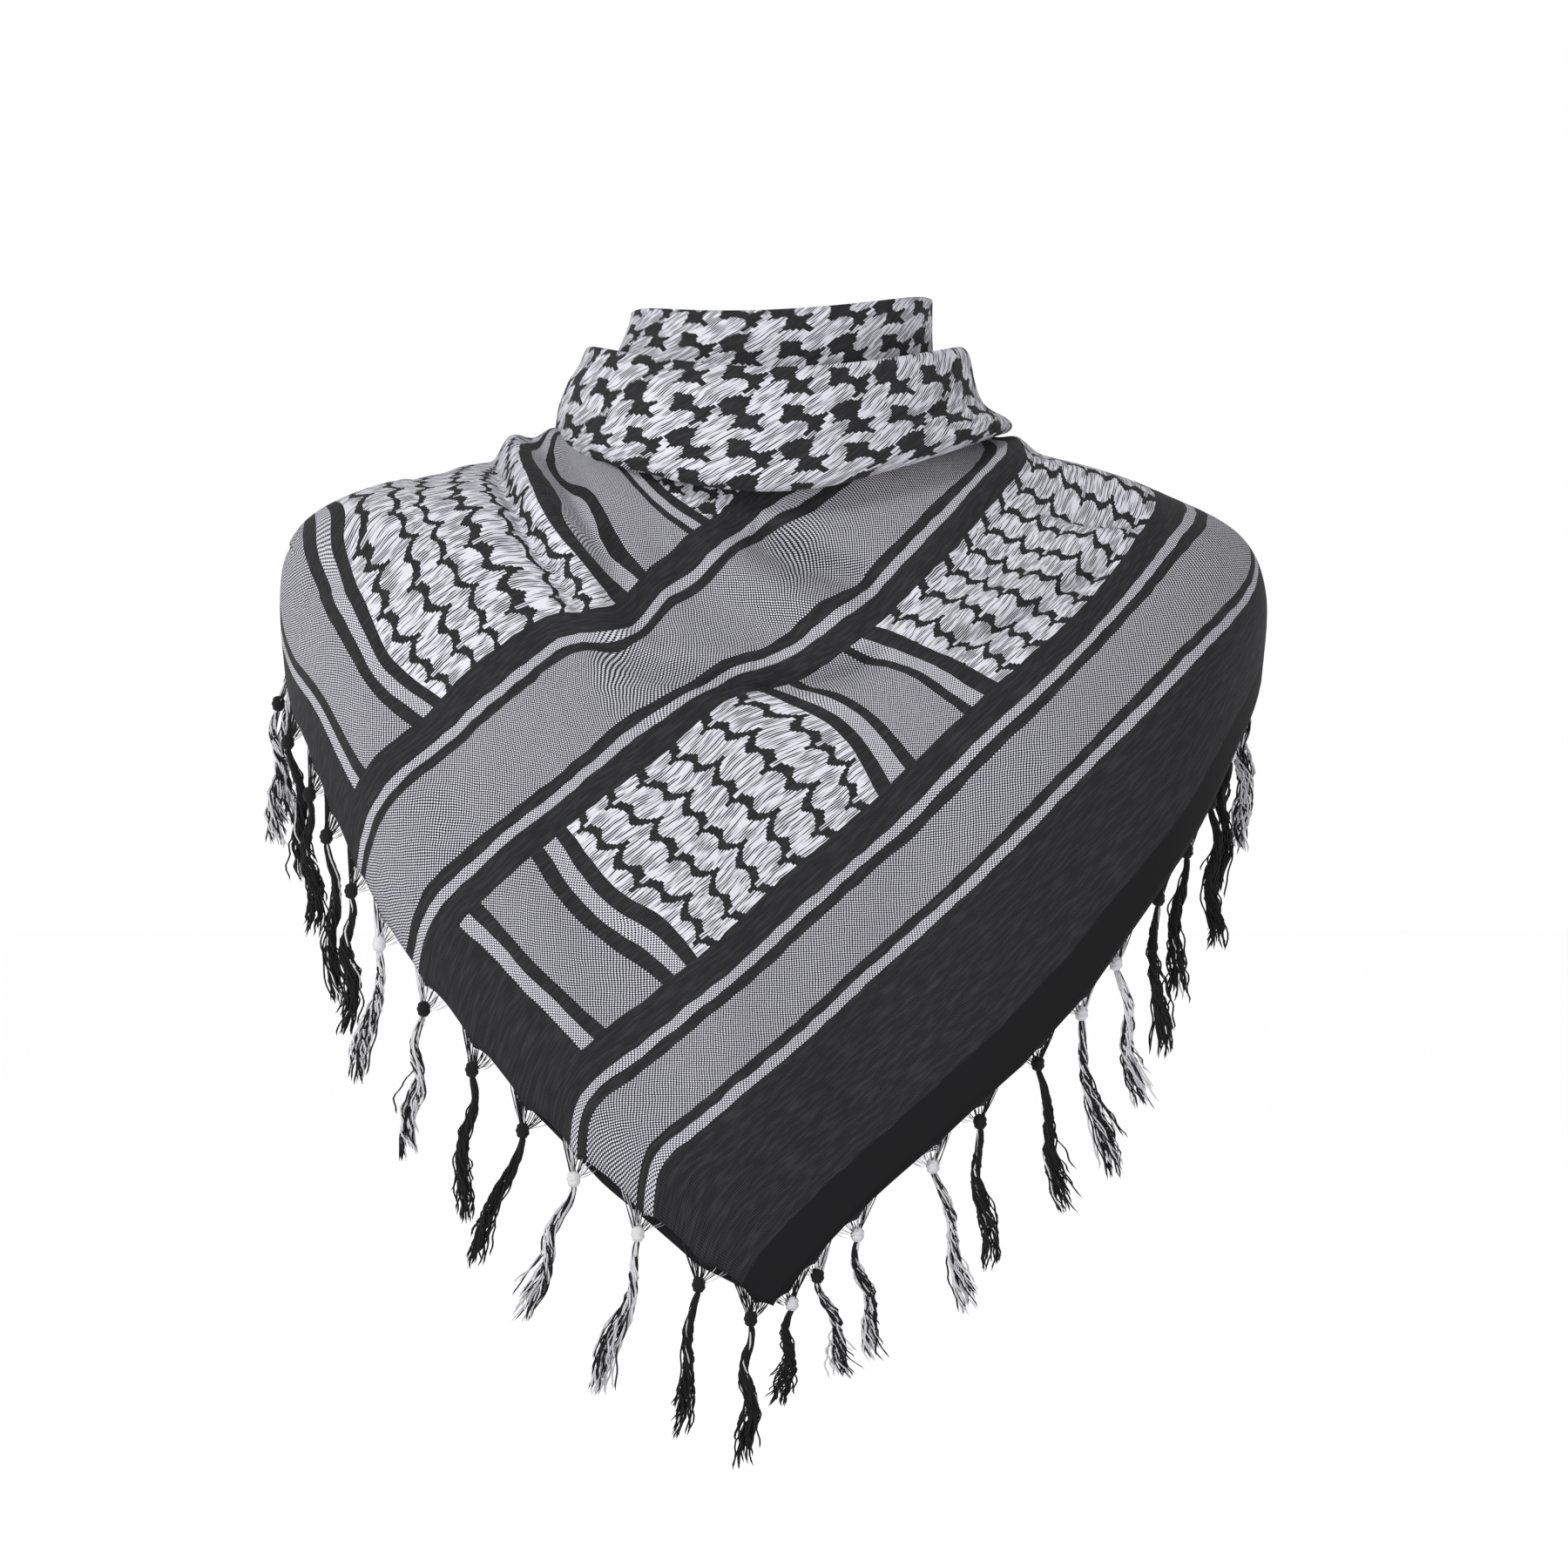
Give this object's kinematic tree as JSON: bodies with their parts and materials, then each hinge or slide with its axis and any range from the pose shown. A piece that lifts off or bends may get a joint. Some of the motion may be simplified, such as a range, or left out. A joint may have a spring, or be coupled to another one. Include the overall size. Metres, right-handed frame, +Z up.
{
  "type": "square cotton scarf with knotted tassels, folded corner to corner and worn round the neck",
  "caption": "Cotton scarf folded to a triangle and worn with its corner in front: two draped layers, a roll and a standing band round an open neck, and knotted tassels.",
  "frame": {"origin": "middle of the neck at the height of the shoulders, where the wearer holds the scarf up", "axes": "+Z up, -Y to the front where the corner hangs, +X to the right of the front view"},
  "size_m": [0.5454, 0.3026, 0.6293],
  "materials": {
    "check_cloth": "plain-woven cotton, black bands and black and white check, float-woven blocks",
    "black_cloth": "plain-woven black cotton with a dense selvage",
    "starred_cloth": "black cotton with white float threads in a small star repeat",
    "black_cotton": "loose twisted black cotton threads",
    "mixed_cotton": "loose black and white cotton threads"
  },
  "bodies": {
    "root": {"outer_layer": "check_cloth", "under_layer": "black_cloth", "neck_roll": "starred_cloth", "neck_band": "starred_cloth", "tassel_left_01": "black_cotton", "tassel_left_02": "black_cotton", "tassel_left_03": "mixed_cotton", "tassel_left_04": "mixed_cotton", "tassel_left_05": "black_cotton", "tassel_left_06": "black_cotton", "tassel_left_07": "mixed_cotton", "tassel_left_08": "mixed_cotton", "tassel_left_09": "black_cotton", "tassel_left_10": "black_cotton", "tassel_left_11": "black_cotton", "tassel_left_12": "black_cotton", "tassel_left_13": "mixed_cotton", "tassel_left_14": "mixed_cotton", "tassel_left_15": "black_cotton", "tassel_left_16": "black_cotton", "tassel_left_17": "black_cotton", "tassel_left_18": "mixed_cotton", "tassel_left_19": "mixed_cotton", "tassel_left_20": "black_cotton", "tassel_right_01": "black_cotton", "tassel_right_02": "mixed_cotton", "tassel_right_03": "mixed_cotton", "tassel_right_04": "mixed_cotton", "tassel_right_05": "black_cotton", "tassel_right_06": "black_cotton", "tassel_right_07": "mixed_cotton", "tassel_right_08": "mixed_cotton", "tassel_right_09": "black_cotton", "tassel_right_10": "black_cotton", "tassel_right_11": "black_cotton", "tassel_right_12": "black_cotton", "tassel_right_13": "mixed_cotton", "tassel_right_14": "mixed_cotton", "tassel_right_15": "black_cotton", "tassel_right_16": "black_cotton", "tassel_right_17": "black_cotton", "tassel_right_18": "mixed_cotton", "tassel_right_19": "mixed_cotton", "tassel_right_20": "black_cotton"}
  },
  "joints": []
}
